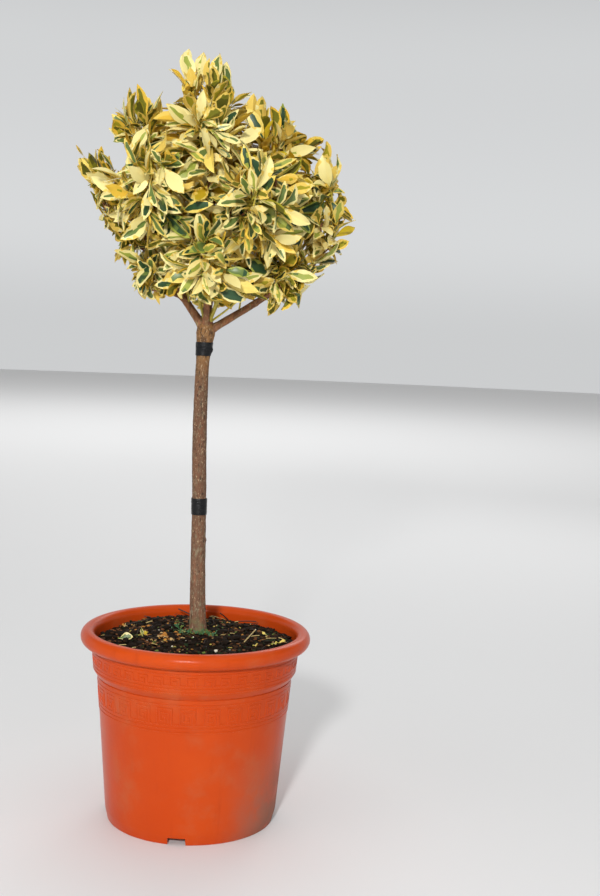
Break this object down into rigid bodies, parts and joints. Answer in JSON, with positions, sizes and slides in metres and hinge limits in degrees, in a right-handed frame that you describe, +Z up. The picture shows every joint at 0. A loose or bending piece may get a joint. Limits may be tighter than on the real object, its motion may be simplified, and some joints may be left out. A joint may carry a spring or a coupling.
{
  "type": "standard lollipop topiary",
  "caption": "Small standard tree with a clear stem and a loose round crown of variegated evergreen leaves, growing in a round rolled-rim plant pot.",
  "frame": {"origin": "middle of the flat underside of the pot, on the pot's axis", "axes": "+Z up along the pot's axis, +X to the right and -Y towards the viewer in the picture"},
  "size_m": [0.3197, 0.2788, 0.862],
  "materials": {
    "pot": "satin",
    "soil": "matte",
    "trunk_bark": "matte",
    "bough_bark": "matte",
    "young_bark": "matte",
    "tape": "satin",
    "foliage": "satin"
  },
  "bodies": {
    "root": {"pot": "pot", "soil": "soil", "trunk": "trunk_bark", "tape_lower": "tape", "tape_upper": "tape", "bough_centre": "bough_bark", "bough_left": "bough_bark", "bough_right": "bough_bark", "bough_back": "bough_bark", "bough_front": "bough_bark", "shoot_upright": "young_bark", "branch_upper_left": "bough_bark", "branch_upper_right": "bough_bark", "branch_upper_back": "bough_bark", "branch_lower_left": "bough_bark", "branch_lower_right": "bough_bark", "branch_front_left": "bough_bark", "branch_front_right": "bough_bark", "branch_back_left": "bough_bark", "branch_back_right": "bough_bark", "leaves_top": "foliage", "leaves_upper_left": "foliage", "leaves_upper_right": "foliage", "leaves_upper_front": "foliage", "leaves_upper_back": "foliage", "leaves_left": "foliage", "leaves_front_left": "foliage", "leaves_front_right": "foliage", "leaves_right": "foliage", "leaves_back_right": "foliage", "leaves_back_left": "foliage", "leaves_lower_left": "foliage", "leaves_lower_right": "foliage", "leaves_lower_front": "foliage", "leaves_lower_back": "foliage"}
  },
  "joints": []
}
